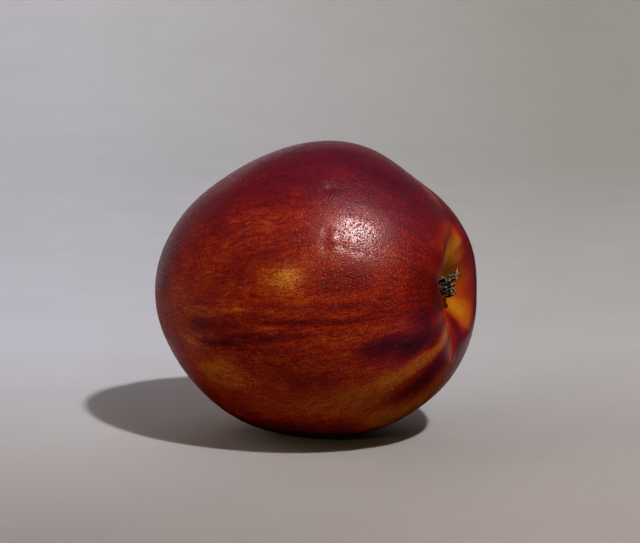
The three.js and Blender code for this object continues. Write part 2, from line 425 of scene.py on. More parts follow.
def rings_along_the_arc():
    """Rings of the skin an even step apart: (arc, x, radius, suture depth, outward x, outward radius)."""
    places = np.linspace(0, len(SECTION) - 1, SECTION_SAMPLES)
    curve, _ = section_curve(places)
    arc = np.concatenate([[0], np.cumsum(np.hypot(*np.diff(curve[:, :2], axis=0).T))])
    steps = round(arc[-1] / SKIN_STEP)
    arcs = np.linspace(0, arc[-1], steps + 1)
    curve, slope = section_curve(np.interp(arcs, arc, places))
    x, radius, suture = curve.T
    out_x = -slope[:, 1]
    out_radius = np.where(x > RIM_STARTS_AT, np.maximum(slope[:, 0], 0), slope[:, 0])
    length = np.hypot(out_x, out_radius)
    return arcs, x, np.maximum(radius, 0), suture, out_x / length, out_radius / length


def axis_height(x):
    """The height of the fruit's bowed and sagging middle over its growing axis."""
    return BOW * (x / BOW_REACH) ** 2 + SAG * hump(x - SAG_AT, SAG_REACH)


def skin_points(rings, longitudes):
    """Every point of the skin, ring by ring, before its low relief, about the growing axis."""
    _, x, radius, suture, out_x, out_radius = (values[:, None] for values in rings)
    angle = np.radians(longitudes)[None, :]

    away = angle - math.radians(SUTURE_LONGITUDE)
    across = radius * np.sin(away)
    on_suture_side = smooth(radius * np.cos(away), -SIDE_FADE, SIDE_FADE)
    groove = suture * valley(across, SUTURE_HALF_WIDTH + SUTURE_WIDENING * suture)
    flat_depth = FLAT_DEPTH + FLAT_EXTRA_DEPTH * hump(x - FLAT_EXTRA_AT, FLAT_EXTRA_REACH)
    flat = flat_depth * smooth(radius, *FLAT_START_RADII) * valley(across, FLAT_HALF_WIDTH)
    dent = on_suture_side * (groove + flat)

    away = angle - math.radians(FOLD_LONGITUDE)
    across = radius * np.sin(away)
    on_fold_side = smooth(radius * np.cos(away), -SIDE_FADE, SIDE_FADE)
    on_rim = smooth(radius, *FOLD_START_RADII) * (1 - smooth(radius, *FOLD_END_RADII)) * (x > 0)
    fold = FOLD_DEPTH * valley(across, FOLD_HALF_WIDTH) + SADDLE_DEPTH * valley(across, SADDLE_HALF_WIDTH)
    dent = dent + on_fold_side * on_rim * fold

    girth = sum(
        share * np.cos(lobes * (angle - math.radians(first))) for share, lobes, first in GIRTH_LOBES
    )
    stretch = 1 + girth * smooth(radius, *GIRTH_START_RADII)

    on_rim = smooth(radius, *RIM_START_RADII) * (1 - smooth(radius, *RIM_END_RADII)) * (x > 0)
    lift = sum(
        height * hump(degrees_apart(longitudes[None, :], middle), half_width)
        for middle, half_width, height in RIM_WAVES
    )

    turned_radius = radius * stretch - dent * out_radius
    return np.stack(
        [
            x - dent * out_x + lift * on_rim,
            turned_radius * np.sin(angle),
            turned_radius * np.cos(angle) + axis_height(x),
        ],
        axis=-1,
    )


def tilted(points):
    """Points about the growing axis, tilted as the fruit lies."""
    cos_tilt, sin_tilt = math.cos(math.radians(AXIS_TILT)), math.sin(math.radians(AXIS_TILT))
    x, y, z = np.moveaxis(points, -1, 0)
    return np.stack([x * cos_tilt - z * sin_tilt, y, x * sin_tilt + z * cos_tilt], axis=-1)


RINGS = rings_along_the_arc()
LONGITUDES = np.arange(SKIN_LONGITUDES) * 360 / SKIN_LONGITUDES
FORM = skin_points(RINGS, LONGITUDES)

# Where the tilted form goes in the part's frame: its box's middle and its flat are the solid's.
lying = tilted(FORM).reshape(-1, 3)
form_low, form_high = lying.min(axis=0), lying.max(axis=0)
cad_middle = (fruit_low + fruit_high) / 2 / MM
FORM_TO_PART = np.array([
    cad_middle.x - (form_low[0] + form_high[0]) / 2,
    cad_middle.y - (form_low[1] + form_high[1]) / 2,
    fruit_low.z / MM - form_low[2] - REST_FLAT_DEPTH,
])


def noise_at(points, size, seed):
    """Smooth noise of about -1 to 1 with lumps of one size, the same on every run."""
    offset = Vector([seed * step for step in NOISE_STEP])
    return np.array([noise.noise(Vector(p) / size + offset) for p in points])


def set_attribute(mesh, name, kind, values):
    attribute = mesh.attributes.new(name, kind, "POINT")
    field = "vector" if kind == "FLOAT_VECTOR" else "value"
    attribute.data.foreach_set(field, np.ascontiguousarray(values, np.float32).ravel())


def mesh_object(name, points, faces):
    mesh = bpy.data.meshes.new(name)
    mesh.from_pydata([tuple(p) for p in points], [], faces)
    mesh.polygons.foreach_set("use_smooth", [True] * len(mesh.polygons))
    mesh.update()
    piece = bpy.data.objects.new(name, mesh)
    bpy.context.scene.collection.objects.link(piece)
    return piece


# ---- The skin ----


def patched(tone, patches, arc, longitude):
    """The tone at each arc and longitude, after each patch in turn has pulled it its way."""
    for at, middle, half_length, half_width, aim, strength in patches:
        away = ((arc - at) / half_length) ** 2 + (degrees_apart(longitude, middle) / half_width) ** 2
        tone = tone + (aim - tone) * strength * np.exp(-(away**PATCH_EDGE))
    return tone


def blush_at(arc, longitude):
    """The blush's tone: the outside's own, and past the rim the cavity's own."""
    round_longitudes, round_tones = zip(*TONES_ROUND)
    outside = np.interp(longitude, round_longitudes, round_tones, period=360)
    outside = patched(outside, BLUSH_PATCHES, arc, longitude)
    inside = patched(np.full_like(arc, CAVITY_TONE), CAVITY_PATCHES, arc, longitude)
    share = smooth(arc, *CAVITY_STARTS_AT)
    return outside * (1 - share) + inside * share


def low_relief(arc, longitude, radius):
    """How far the skin stands out over its form: low swells, dents and bumps, and the cavity's ridges."""
    relief = SWELL_HEIGHT * noise_at(FORM.reshape(-1, 3), SWELL_LENGTH, SWELL_SEED).reshape(arc.shape)
    for at, middle, half_length, half_width, height in SMALL_RELIEF:
        sideways = np.radians(degrees_apart(longitude, middle)) * radius
        relief += height * hump(arc - at, half_length) * hump(sideways, half_width)
    turn = np.radians(longitude)
    in_cavity = smooth(arc, *CAVITY_RIDGE_START) * (1 - smooth(arc, *CAVITY_RIDGE_END))
    wander = CAVITY_RIDGE_WANDER * np.sin(turn * CAVITY_RIDGE_WAVES)
    relief += CAVITY_RIDGE_HEIGHT * in_cavity * np.cos(turn * CAVITY_RIDGES + wander)
    return relief * smooth(radius, *RELIEF_FADE_RADII)


def outward_directions(points):
    """The skin's own outward direction at every point of its rings."""
    around = np.gradient(points, axis=1)
    around[:, 0] = points[:, 1] - points[:, -1]
    around[:, -1] = points[:, 0] - points[:, -2]
    outward = np.cross(around, np.gradient(points, axis=0))
    return outward / np.maximum(np.linalg.norm(outward, axis=-1, keepdims=True), NO_LENGTH)


def pressed_flat(height):
    """Heights over the floor, those near it or below it pressed into the flat that the fruit rests on."""
    soft = REST_FLAT_BLEND
    return np.where(height > soft, height, soft * np.exp(np.minimum(height / soft - 1, 0)))


def build_skin():
    arcs, _, radii, *_ = RINGS
    arc = np.repeat(arcs[:, None], SKIN_LONGITUDES, axis=1)
    longitude = np.repeat(LONGITUDES[None, :], len(arcs), axis=0)
    radius = np.repeat(radii[:, None], SKIN_LONGITUDES, axis=1)

    points = FORM + outward_directions(FORM) * low_relief(arc, longitude, radius)[..., None]
    points = tilted(points) + FORM_TO_PART
    points[..., 2] = pressed_flat(points[..., 2])

    first, last = points[0].mean(axis=0), points[-1].mean(axis=0)
    middle_rings = points[1:-1]
    count = SKIN_LONGITUDES
    vertices = np.vstack([first, middle_rings.reshape(-1, 3), last]) * MM
    faces = []
    for column in range(count):
        beside = (column + 1) % count
        faces.append((0, 1 + beside, 1 + column))
        for ring in range(len(middle_rings) - 1):
            here, there = 1 + ring * count, 1 + (ring + 1) * count
            faces.append((here + column, here + beside, there + beside, there + column))
        start = 1 + (len(middle_rings) - 1) * count
        faces.append((start + column, start + beside, len(vertices) - 1))
    skin = mesh_object("fruit_skin", vertices, faces)

    def with_ends(grid):
        """A value for each vertex: the first and the last ring are a single vertex each."""
        return np.concatenate([[grid[0].mean()], grid[1:-1].ravel(), [grid[-1].mean()]])

    # Streaks are drawn as on a round tube as long as the arc, so that they follow the meridians.
    turn = np.radians(longitude)
    fade = smooth(radius, *STREAK_FADE_RADII)
    streaks = [with_ends(np.cos(turn) * fade), with_ends(np.sin(turn) * fade), with_ends(arc)]
    set_attribute(skin.data, "streaks", "FLOAT_VECTOR", np.stack(streaks, axis=-1))
    set_attribute(skin.data, "blush", "FLOAT", with_ends(blush_at(arc, longitude)))
    set_attribute(skin.data, "cavity", "FLOAT", with_ends(smooth(arc, *CAVITY_STARTS_AT)))
    shares = {
        "streaky": STREAK_PATCHES,
        "russet_and_shade": RUSSET_AND_SHADE_PATCHES,
        "pitted_shade": PITTED_SHADE_PATCHES,
        "wine_and_sheen": WINE_AND_SHEEN_PATCHES,
    }
    for name, patches in shares.items():
        share = patched(np.zeros_like(arc), patches, arc, longitude)
        set_attribute(skin.data, name, "FLOAT", with_ends(share))
    skin.data.materials.append(skin_material())
    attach(skin, "root")
    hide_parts("fruit")


# ---- Node materials ----


class Nodes:
    """A small helper that adds and links a material's nodes."""

    def __init__(self, name):
        self.material = bpy.data.materials.new(name)
        self.material.use_nodes = True
        self.tree = self.material.node_tree
        self.shader = self.tree.nodes["Principled BSDF"]

    def add(self, kind, inputs=None, **settings):
        node = self.tree.nodes.new(kind)
        for key, value in settings.items():
            setattr(node, key, value)
        for key, value in (inputs or {}).items():
            self.set(node.inputs[key], value)
        return node

    def set(self, socket, value):
        """Link a node's output to the socket, or set the socket to a plain value."""
        if isinstance(value, bpy.types.NodeSocket):
            self.tree.links.new(value, socket)
        else:
            socket.default_value = value

    def math(self, operation, *values, clamp=False):
        node = self.add("ShaderNodeMath", operation=operation, use_clamp=clamp)
        for socket, value in zip(node.inputs, values):
            self.set(socket, value)
        return node.outputs[0]

    def vector(self, operation, *values):
        node = self.add("ShaderNodeVectorMath", operation=operation)
        for socket, value in zip(node.inputs, values):
            self.set(socket, value)
        return node.outputs[0]

    def noise(self, vector, scale, detail, roughness):
        inputs = {"Vector": vector, "Scale": scale, "Detail": detail, "Roughness": roughness}
        return self.add("ShaderNodeTexNoise", inputs).outputs["Fac"]

    def stretched_noise(self, vector, stretch, detail, roughness):
        return self.noise(self.vector("MULTIPLY", vector, stretch), 1.0, detail, roughness)

    def cells(self, vector, scale):
        """The distance to the nearest of the points strewn at random, so many to a metre."""
        return self.add("ShaderNodeTexVoronoi", {"Vector": vector, "Scale": scale}).outputs["Distance"]

    def bump(self, height, strength, distance):
        node = self.add("ShaderNodeBump", {"Height": height, "Strength": strength, "Distance": distance})
        self.set(self.shader.inputs["Normal"], node.outputs["Normal"])

    def scaled(self, share, amount):
        return self.math("MULTIPLY", share, amount)

    def less(self, share, amount):
        """1 less an amount of a share."""
        return self.math("SUBTRACT", 1.0, self.scaled(share, amount))

    def swing(self, total, tone, middle, amount, clamp=False):
        """A total that a tone swings up and down, by an amount for each 1 that it is off its middle."""
        swung = self.scaled(self.math("SUBTRACT", tone, middle), amount)
        return self.math("ADD", total, swung, clamp=clamp)

    def along(self, vector, direction):
        """How far a point lies along a direction."""
        node = self.add("ShaderNodeVectorMath", operation="DOT_PRODUCT")
        self.set(node.inputs[0], vector)
        self.set(node.inputs[1], tuple(direction))
        return node.outputs["Value"]

    def shade(self, settings):
        """Set the shader's own sockets, each to a number, a colour or another node's output."""
        for name, value in settings.items():
            self.set(self.shader.inputs[name], value)

    def ramp(self, value, stops, interpolation="LINEAR"):
        node = self.add("ShaderNodeValToRGB", {"Fac": value})
        node.color_ramp.interpolation = interpolation
        elements = node.color_ramp.elements
        while len(elements) < len(stops):
            elements.new(0.5)
        for element, (position, colour) in zip(elements, stops):
            element.position = position
            element.color = (*colour, 1)
        return node.outputs["Color"]

    def map_range(self, value, low, high, to_low=0.0, to_high=1.0):
        node = self.add(
            "ShaderNodeMapRange",
            {"Value": value, "From Min": low, "From Max": high, "To Min": to_low, "To Max": to_high},
        )
        return node.outputs["Result"]

    def mix(self, share, one, other, blend="MIX"):
        node = self.add("ShaderNodeMix", data_type="RGBA", blend_type=blend)
        self.set(node.inputs["Factor"], share)
        self.set(node.inputs["A"], one)
        self.set(node.inputs["B"], other)
        return node.outputs["Result"]

    def attribute(self, name, output="Fac"):
        return self.add("ShaderNodeAttribute", attribute_name=name).outputs[output]


NOISE_MIDDLE = 0.5

# Skin colours over the blush scale, from bare ground to maroon, as the share of the scale's top.
BLUSH_SCALE = 3.4
SKIN_COLOURS = [
    (0.0, (0.50, 0.24, 0.008)),
    (0.13, (0.44, 0.125, 0.002)),
    (0.26, (0.37, 0.052, 0.001)),
    (0.40, (0.27, 0.015, 0.001)),
    (0.54, (0.18, 0.005, 0.001)),
    (0.68, (0.105, 0.004, 0.003)),
    (0.82, (0.055, 0.003, 0.003)),
    (1.0, (0.025, 0.002, 0.003)),
]
# The wine added here is partly the skin's purple bloom and partly a painted sheen.
WINE_AND_SHEEN = (0.004, 0.005, 0.022, 1)  # added to the colour where it is wine
# The russet multiplied in here is partly russet and partly painted shade deep in the cavity.
RUSSET_AND_SHADE = (0.30, 0.36, 0.8)  # multiplied into the colour where it is russet

# Streaks that follow the meridians, from broad to fine: (scale across them, twice, and along the arc,
# detail, roughness, how far they swing the tone). They wander a little, are weaker in the cavity and in the
# wine and its painted sheen, and stronger where the skin is streaky.
STREAKS = [
    ((5.0, 5.0, 0.06), 3.0, 0.6, 0.45),
    ((22.0, 22.0, 0.15), 4.0, 0.65, 1.25),
    ((75.0, 75.0, 0.32), 3.0, 0.6, 1.7),
]
WANDERS_PER_METRE = 90.0
WANDER = (0.12, 0.12, 1.5)
STREAKS_LOST_IN_CAVITY = 0.6
STREAKS_LOST_IN_WINE_AND_SHEEN = 0.15
STREAKS_GAINED = 0.3

# Rounder mottling and fine specks between them.
MOTTLES_PER_METRE = 190.0
MOTTLE_SWING = 0.8
MOTTLE_RANGE = (0.3, 0.7)
SPECKS_PER_METRE = 1900.0
SPECK_SWING = 1.7
MOTTLES_LOST_IN_CAVITY = 0.55

# The grain: rounded grains touching each other, with pores close together among them, darkened in colour as
# painted shade in their hollows.
# Their heights and depths are shares of the grain's height.
GRAIN_HEIGHT = 0.000048
GRAINS_PER_METRE = 2700.0
GRAIN_DOME = -0.45  # how a grain falls off from its middle, with the square of the distance
ROUGHS_PER_METRE = 3400.0
ROUGH_SHARE = 0.5
PORES_PER_METRE = 2300.0
PORE_EDGE = (0.44, 0.2)  # distances from its middle where a pore starts, and where it is at its full
PORE_DEPTH = 0.75
# The pores' colour is painted shade, darkest where the skin is pitted, most of all in the highlights.
PORE_SHADE_TINT = (0.32, 0.24, 0.22)
PORE_SHADE = 0.65
PORE_SHADE_GAINED = 0.35  # where the skin is pitted
PORES_LOST_IN_CAVITY = 0.8

# A few pale breathing spots.
SPOTS_PER_METRE = 360.0
SPOT_EDGE = (0.075, 0.035)
SPOT_SHARE = 0.3
SPOT_COLOUR = (0.42, 0.17, 0.09, 1)

# The skin's waxy gloss.
SKIN_ROUGHNESS = (0.27, 0.31)
PORE_ROUGHNESS = 0.4
SKIN_FINISH = {
    "IOR": 1.45,
    "Specular IOR Level": 0.46,
    "Coat Weight": 0.03,
    "Coat Roughness": 0.5,
    "Coat IOR": 1.4,
    "Subsurface Weight": 0.1,
    "Subsurface Radius": (1.0, 0.25, 0.08),
    "Subsurface Scale": 0.002,
}


def skin_material():
    n = Nodes("nectarine_skin")
    place = n.add("ShaderNodeTexCoord").outputs["Object"]
    cavity = n.attribute("cavity")
    wine_and_sheen = n.attribute("wine_and_sheen")

    wander = n.add("ShaderNodeTexNoise", {"Vector": place, "Scale": WANDERS_PER_METRE}).outputs["Color"]
    wander = n.vector("SUBTRACT", wander, (NOISE_MIDDLE,) * 3)
    wavy = n.vector("ADD", n.attribute("streaks", "Vector"), n.vector("MULTIPLY", wander, WANDER))
    streaked = n.less(cavity, STREAKS_LOST_IN_CAVITY)
    streaked = n.math("SUBTRACT", streaked, n.scaled(wine_and_sheen, STREAKS_LOST_IN_WINE_AND_SHEEN))
    streaked = n.math("ADD", streaked, n.scaled(n.attribute("streaky"), STREAKS_GAINED))
    tone = n.attribute("blush")
    for stretch, detail, roughness, swing in STREAKS:
        streaks = n.stretched_noise(wavy, stretch, detail, roughness)
        tone = n.swing(tone, streaks, NOISE_MIDDLE, n.scaled(streaked, swing))

    mottle = n.noise(place, MOTTLES_PER_METRE, detail=4.0, roughness=0.6)
    specks = n.noise(place, SPECKS_PER_METRE, detail=2.0, roughness=0.6)
    mottled = n.less(cavity, MOTTLES_LOST_IN_CAVITY)
    tone = n.swing(tone, mottle, NOISE_MIDDLE, n.scaled(mottled, MOTTLE_SWING))
    tone = n.swing(tone, specks, NOISE_MIDDLE, n.scaled(mottled, SPECK_SWING))
    colour = n.ramp(n.math("DIVIDE", tone, BLUSH_SCALE, clamp=True), SKIN_COLOURS, "B_SPLINE")
    colour = n.mix(wine_and_sheen, colour, WINE_AND_SHEEN, "ADD")
    colour = n.mix(n.attribute("russet_and_shade"), colour, n.vector("MULTIPLY", colour, RUSSET_AND_SHADE))

    pore = n.map_range(n.cells(place, PORES_PER_METRE), *PORE_EDGE)
    pore = n.math("MULTIPLY", pore, n.less(cavity, PORES_LOST_IN_CAVITY))
    shade = n.math("ADD", PORE_SHADE, n.scaled(n.attribute("pitted_shade"), PORE_SHADE_GAINED))
    colour = n.mix(n.math("MULTIPLY", pore, shade), colour, n.vector("MULTIPLY", colour, PORE_SHADE_TINT))
    spot = n.map_range(n.cells(place, SPOTS_PER_METRE), *SPOT_EDGE)
    colour = n.mix(n.scaled(spot, SPOT_SHARE), colour, SPOT_COLOUR)

    roughness = n.map_range(mottle, *MOTTLE_RANGE, *SKIN_ROUGHNESS)
    roughness = n.math("ADD", roughness, n.scaled(pore, PORE_ROUGHNESS))
    n.shade({"Base Color": colour, "Roughness": roughness, **SKIN_FINISH})

    grains = n.cells(place, GRAINS_PER_METRE)
    domes = n.scaled(n.math("MULTIPLY", grains, grains), GRAIN_DOME)
    rough = n.scaled(n.noise(place, ROUGHS_PER_METRE, detail=2.0, roughness=0.6), ROUGH_SHARE)
    height = n.math("SUBTRACT", n.math("ADD", domes, rough), n.scaled(pore, PORE_DEPTH))
    n.bump(height, strength=1.0, distance=GRAIN_HEIGHT)
    return n.material


# ---- The stalk's stub ----

# Woody limbs grown together: (base, end, radii from base to end). They are the source's limbs, a little
# slimmer and shorter, because the fibres lie over them.
STUB_LIMBS = [
    ((28.9, 0, 0), (33.7, -0.2, -0.1), (2.35, 2.3, 2.3, 2.0, 1.5)),
    ((31.4, -0.6, 0.6), (34.6, -1.0, 1.9), (1.1, 1.2, 1.2, 1.1, 0.7)),
    ((31.8, 0.3, 0.3), (35.6, 0.5, 3.1), (1.1, 1.0, 0.9, 0.7, 0.45)),
    ((31.6, 0.2, -0.4), (34.6, 0.2, -1.4), (1.2, 1.4, 1.4, 1.2, 0.8)),
]
LIMB_SIDES = 28
LIMB_ROWS = 14
LIMB_SIDEWAYS = (0, 1, 0)  # any direction that no limb runs along
LIMB_RIDGES = 5
LIMB_RIDGE_DEPTH = 0.12  # share of the limb's radius
LIMB_RIDGE_TWIST = 1.1  # radians from a limb's base to its end
LIMB_RIDGE_START = (0.2, 0.5)  # shares of the limb's length
LIMB_BREAK_DEPTH = 0.3  # the broken ends are ragged by this much
LIMB_BREAK_TEETH = 2
LIMB_BREAK_START = (0.8, 1.0)

# Bared fibres that fan out over the limbs, from the stub's root to its torn end. The fan reaches from the
# first fibre to the last, and chance adds up to a spread to where each one starts and ends.
STRAND_COUNT = 26
STRAND_SEED = 4
STRAND_START = (31.0, -1.7, -2.4)
STRAND_START_FAN = 3.0  # up
STRAND_START_SPREAD = 1.9  # across
STRAND_END = (33.9, -1.2, -1.2)
STRAND_END_REACH = 1.8  # how much further out the last one ends
STRAND_END_CURVE = 0.7
STRAND_END_FAN = 4.6  # up
STRAND_END_SPREAD = (0.4, 2.1)  # out and across
STRAND_BOW = (0.0, -0.5, 0.0)
STRAND_BOW_SPREAD = 0.5
STRAND_RADIUS = 0.2
STRAND_RADIUS_SPREAD = 0.16
STRAND_ROWS = 24
STRAND_SIDES = 8
STRAND_ROUNDS = 4  # times that its bends are evened out
STRAND_TAPER = 0.45
STRAND_SIDEWAYS = (0.3, 1.0, 0.2)  # any direction that no fibre runs along
# A torn loop and a thin wisp on the stub's top: (path, radius).
STUB_LOOP = (
    [(31.2, -2.0, 0.4), (31.8, -2.2, 1.7), (32.8, -2.0, 2.4), (33.8, -1.8, 2.0), (33.6, -1.9, 1.1)],
    0.34,
)
STUB_WISP = ([(34.6, 0.3, 2.2), (35.5, 0.5, 3.1), (35.7, 0.6, 4.3)], 0.17)

# Limbs and fibres are remeshed as one skin, then roughened where they are bared, past the root.
STUB_VOXEL = 0.08
STUB_BARED = (30.5, 31.5)
STUB_FIBRE_STRETCH = (0.3, 1, 1)
STUB_FIBRE_SIZE = 0.28
STUB_FIBRE_HEIGHT = 0.10
STUB_FIBRE_SEED = 2
STUB_CRUMB_SIZE = 0.6
STUB_CRUMB_HEIGHT = 0.12
STUB_CRUMB_SEED = 3
RIDGE_REACH = 6  # how many edges away a ridge's neighbourhood ends
# How far a point stands out sets the stub's painted shade in its crevices and painted light on its ridges.
RIDGE_HEIGHTS = (-0.035, 0.05)  # from the darkest crevice to the palest ridge


def tube_faces(rows, sides):
    """The faces of a closed tube: its points row by row, then the middles of its base and its end."""
    faces = []
    for row in range(rows - 1):
        for column in range(sides):
            beside = (column + 1) % sides
            here, there = row * sides, (row + 1) * sides
            faces.append((here + column, here + beside, there + beside, there + column))
    last = (rows - 1) * sides
    base, end = rows * sides, rows * sides + 1
    for column in range(sides):
        beside = (column + 1) % sides
        faces.append((beside, column, base))
        faces.append((last + column, last + beside, end))
    return faces


def limb_mesh(base, end, radii):
    """A rough woody limb from its base to its end."""
    base, end = np.array(base, float), np.array(end, float)
    along = end - base
    length = np.linalg.norm(along)
    along /= length
    side = np.cross(along, LIMB_SIDEWAYS)
    side /= np.linalg.norm(side)
    other = np.cross(along, side)
    rows = np.linspace(0, 1, LIMB_ROWS)
    radius = np.interp(rows, np.linspace(0, 1, len(radii)), radii)
    angle = np.arange(LIMB_SIDES) * 2 * math.pi / LIMB_SIDES
    ridges = np.cos(LIMB_RIDGES * angle[None, :] + LIMB_RIDGE_TWIST * rows[:, None] + length)
    ring = radius[:, None] * (1 + LIMB_RIDGE_DEPTH * ridges * smooth(rows, *LIMB_RIDGE_START)[:, None])
    teeth = np.cos(LIMB_BREAK_TEETH * angle + length)
    ragged = LIMB_BREAK_DEPTH * teeth[None, :] * smooth(rows, *LIMB_BREAK_START)[:, None]
    points = (
        base
        + along * (rows[:, None] * length + ragged)[..., None]
        + side * (ring * np.cos(angle))[..., None]
        + other * (ring * np.sin(angle))[..., None]
    )
    return np.vstack([points.reshape(-1, 3), base, end]), tube_faces(LIMB_ROWS, LIMB_SIDES)


def strand_mesh(path, radius):
    """A thin bent fibre along a path, tapered to its end."""
    along = np.linspace(0, 1, STRAND_ROWS)
    corners = np.linspace(0, 1, len(path))
    centre = np.stack([np.interp(along, corners, axis) for axis in np.array(path).T], axis=-1)
    for _ in range(STRAND_ROUNDS):
        centre[1:-1] = (centre[:-2] + 2 * centre[1:-1] + centre[2:]) / 4
    forward = np.gradient(centre, axis=0)
    forward /= np.linalg.norm(forward, axis=1, keepdims=True)
    side = np.cross(forward, STRAND_SIDEWAYS)
    side /= np.linalg.norm(side, axis=1, keepdims=True)
    other = np.cross(forward, side)
    angle = np.arange(STRAND_SIDES) * 2 * math.pi / STRAND_SIDES
    width = radius * (1 - STRAND_TAPER * along**2)
    ring = centre[:, None] + width[:, None, None] * (
        side[:, None] * np.cos(angle)[None, :, None] + other[:, None] * np.sin(angle)[None, :, None]
    )
    vertices = np.vstack([ring.reshape(-1, 3), centre[:1], centre[-1:]])
    return vertices, tube_faces(STRAND_ROWS, STRAND_SIDES)


def stub_strands():
    """The fibres as (path, radius): the fan from the stub's root to its torn end, the loop and the wisp."""
    chance = np.random.default_rng(STRAND_SEED)
    strands = []
    for count in range(STRAND_COUNT):
        share = count / (STRAND_COUNT - 1)
        x, y, z = STRAND_START
        start = np.array([x, y + STRAND_START_SPREAD * chance.random(), z + STRAND_START_FAN * share])
        x, y, z = STRAND_END
        x = x + STRAND_END_REACH * share**STRAND_END_CURVE + STRAND_END_SPREAD[0] * chance.random()
        y = y + STRAND_END_SPREAD[1] * chance.random()
        end = np.array([x, y, z + STRAND_END_FAN * share])
        bow = np.array(STRAND_BOW) + STRAND_BOW_SPREAD * (chance.random(3) - 0.5)
        radius = STRAND_RADIUS + STRAND_RADIUS_SPREAD * chance.random()
        strands.append(([start, (start + end) / 2 + bow, end], radius))
    return strands + [STUB_LOOP, STUB_WISP]


def ridges_of(mesh, points, outward):
    """How far each point stands out over its neighbourhood, in millimetres."""
    edges = np.empty(len(mesh.edges) * 2, int)
    mesh.edges.foreach_get("vertices", edges)
    one, other = edges.reshape(-1, 2).T
    count = np.bincount(one, minlength=len(points)) + np.bincount(other, minlength=len(points))
    around = points
    for _ in range(RIDGE_REACH):
        total = np.zeros_like(points)
        np.add.at(total, one, around[other])
        np.add.at(total, other, around[one])
        around = total / np.maximum(count, 1)[:, None]
    return ((points - around) * outward).sum(axis=1)


def build_stub():
    vertices, faces = [], []
    meshes = [limb_mesh(*limb) for limb in STUB_LIMBS]
    meshes += [strand_mesh(*strand) for strand in stub_strands()]
    for points, limb_faces in meshes:
        faces += [tuple(corner + len(vertices) for corner in face) for face in limb_faces]
        vertices += list(points)
    lumps = mesh_object("stub_lumps", vertices, faces)
    remesh = lumps.modifiers.new("remesh", "REMESH")
    remesh.mode = "VOXEL"
    remesh.voxel_size = STUB_VOXEL
    dressed = lumps.evaluated_get(bpy.context.evaluated_depsgraph_get())
    whole = bpy.data.meshes.new_from_object(dressed)
    bpy.data.objects.remove(lumps)

    count = len(whole.vertices)
    points, outward = np.empty(count * 3), np.empty(count * 3)
    whole.vertices.foreach_get("co", points)
    whole.vertices.foreach_get("normal", outward)
    points, outward = points.reshape(-1, 3), outward.reshape(-1, 3)
    # Fibres run along the stub, with coarse crumbs over them.
    fibres = noise_at(points * STUB_FIBRE_STRETCH, STUB_FIBRE_SIZE, STUB_FIBRE_SEED)
    crumbs = noise_at(points, STUB_CRUMB_SIZE, STUB_CRUMB_SEED)
    relief = STUB_FIBRE_HEIGHT * fibres + STUB_CRUMB_HEIGHT * crumbs
    bared = smooth(points[:, 0], *STUB_BARED)
    points = points + outward * (relief * bared)[:, None]
    ridge = ridges_of(whole, points, outward)
    points[:, 2] += axis_height(points[:, 0])
    points = (tilted(points) + FORM_TO_PART) * MM
    whole.vertices.foreach_set("co", points.ravel())
    whole.polygons.foreach_set("use_smooth", [True] * len(whole.polygons))
    whole.update()
    set_attribute(whole, "ridge", "FLOAT", ridge)
    stub = bpy.data.objects.new("stalk_stub", whole)
    bpy.context.scene.collection.objects.link(stub)
    stub.data.materials.append(stub_material())
    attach(stub, "root")
    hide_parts("stem_stub")


# Painted shade in the crevices and painted light on the ridges, over the stalk's own dark brown and tan:
# from the darkest crevice to the palest ridge.
STUB_COLOURS_AND_SHADE = [
    (0.0, (0.003, 0.002, 0.001)),
    (0.35, (0.013, 0.008, 0.003)),
    (0.58, (0.060, 0.036, 0.013)),
    (0.8, (0.20, 0.135, 0.055)),
    (1.0, (0.45, 0.33, 0.19)),
]
STALK_FIBRES_PER_METRE = (900.0, 3200.0, 3200.0)
STALK_FIBRE_SWING = 0.7
STALK_FIBRE_RANGE = (0.3, 0.7)
STALK_CRUMBS_PER_METRE = 1500.0
STALK_CRUMB_SWING = 1.0
STALK_CRUMB_MIDDLE = 0.55
STALK_ROUGHNESS = (0.5, 0.8)
STALK_BUMP_HEIGHT = 0.00006


def stub_material():
    n = Nodes("dry_stalk")
    place = n.add("ShaderNodeTexCoord").outputs["Object"]
    fibres = n.stretched_noise(place, STALK_FIBRES_PER_METRE, detail=3.0, roughness=0.6)
    crumbs = n.noise(place, STALK_CRUMBS_PER_METRE, detail=3.0, roughness=0.6)
    level = n.map_range(n.attribute("ridge"), *RIDGE_HEIGHTS)
    level = n.swing(level, fibres, NOISE_MIDDLE, STALK_FIBRE_SWING)
    level = n.swing(level, crumbs, STALK_CRUMB_MIDDLE, STALK_CRUMB_SWING, clamp=True)
    roughness = n.map_range(fibres, *STALK_FIBRE_RANGE, *STALK_ROUGHNESS)
    n.shade({"Base Color": n.ramp(level, STUB_COLOURS_AND_SHADE), "Roughness": roughness})
    n.bump(n.math("ADD", fibres, crumbs), strength=1.0, distance=STALK_BUMP_HEIGHT)
    return n.material


# ---- Camera ----

CAMERA_AZIMUTH = 22.3
CAMERA_ELEVATION = 9.5
CAMERA_DISTANCE = 0.56
CAMERA_SENSOR = 36.0
PICTURE_WIDTH = 640
PIXELS_PER_MM = 4.394  # pixels of the picture to a millimetre at the fruit
# The fruit stands a little left of and below the picture's middle.
AIM_RIGHT = 0.00277
AIM_UP = 0.00352

azimuth, elevation = math.radians(CAMERA_AZIMUTH), math.radians(CAMERA_ELEVATION)
RIGHT = Vector((math.cos(azimuth), math.sin(azimuth), 0))
TOWARDS = Vector((math.sin(azimuth), -math.cos(azimuth), 0))
UP = Vector((0, 0, 1))
middle = (cad_low + cad_high) / 2


